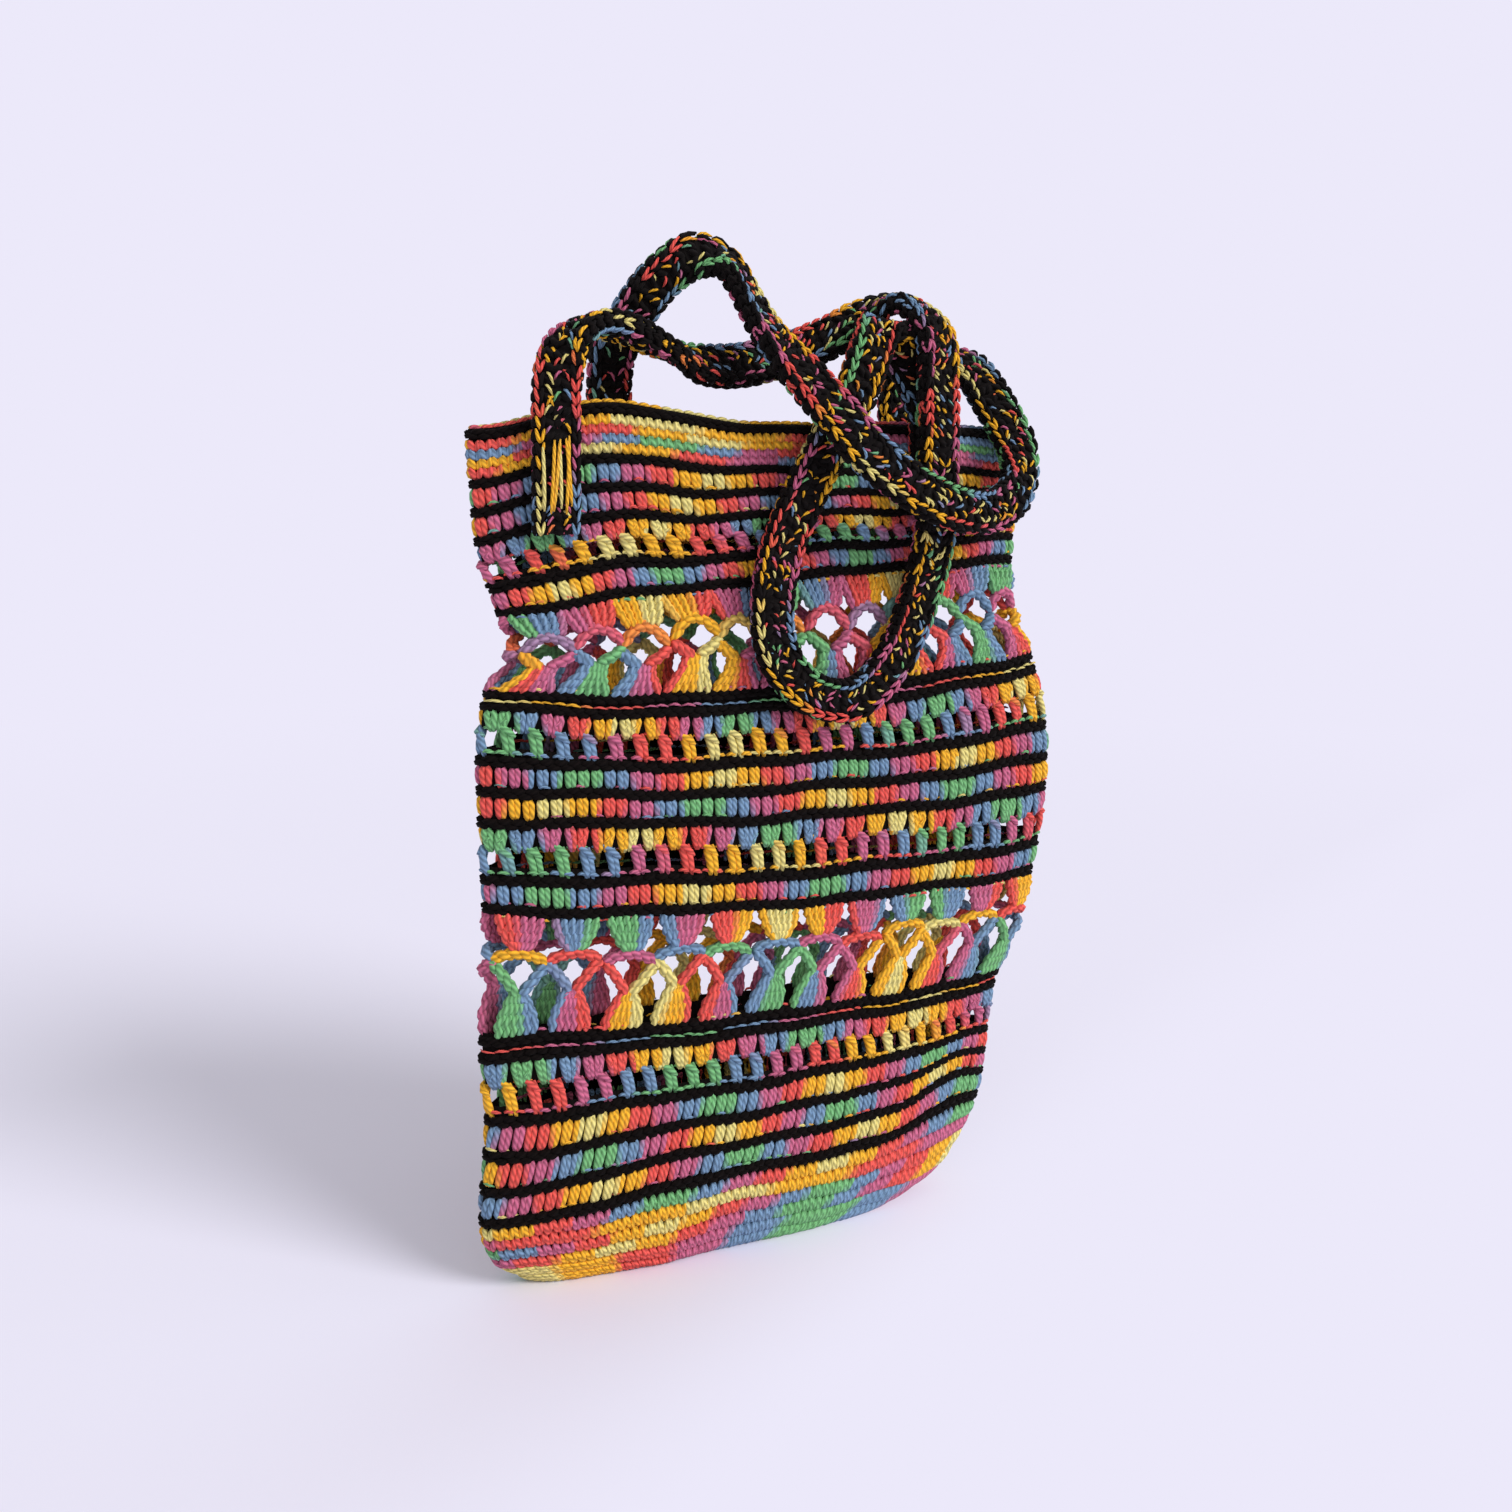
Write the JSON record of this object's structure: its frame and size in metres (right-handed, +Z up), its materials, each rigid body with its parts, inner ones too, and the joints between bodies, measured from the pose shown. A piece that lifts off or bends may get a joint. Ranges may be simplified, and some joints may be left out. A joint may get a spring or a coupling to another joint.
{
  "type": "crochet tote bag",
  "caption": "Soft open-topped crochet tote bag with black cord rounds, variegated stitches, openwork lace bands and long flat shoulder straps.",
  "frame": {"origin": "on the flat underside of the base, under the middle of the bag", "axes": "+Z up, -Y towards the front of the bag, +X to the right seen from the front"},
  "size_m": [0.3166, 0.089, 0.4758],
  "materials": {
    "bag_fabric": "matte crocheted cotton, variegated with black rounds",
    "strap_fabric": "matte crocheted cotton, black worked together with variegated yarn",
    "sewing_yarn": "matte twisted cotton yarn"
  },
  "bodies": {
    "root": {"bag_body": "bag_fabric", "strap_front": "strap_fabric", "strap_back": "strap_fabric", "sewing_yarn_front_left": "sewing_yarn", "sewing_yarn_front_right": "sewing_yarn", "sewing_yarn_back_left": "sewing_yarn", "sewing_yarn_back_right": "sewing_yarn"}
  },
  "joints": []
}
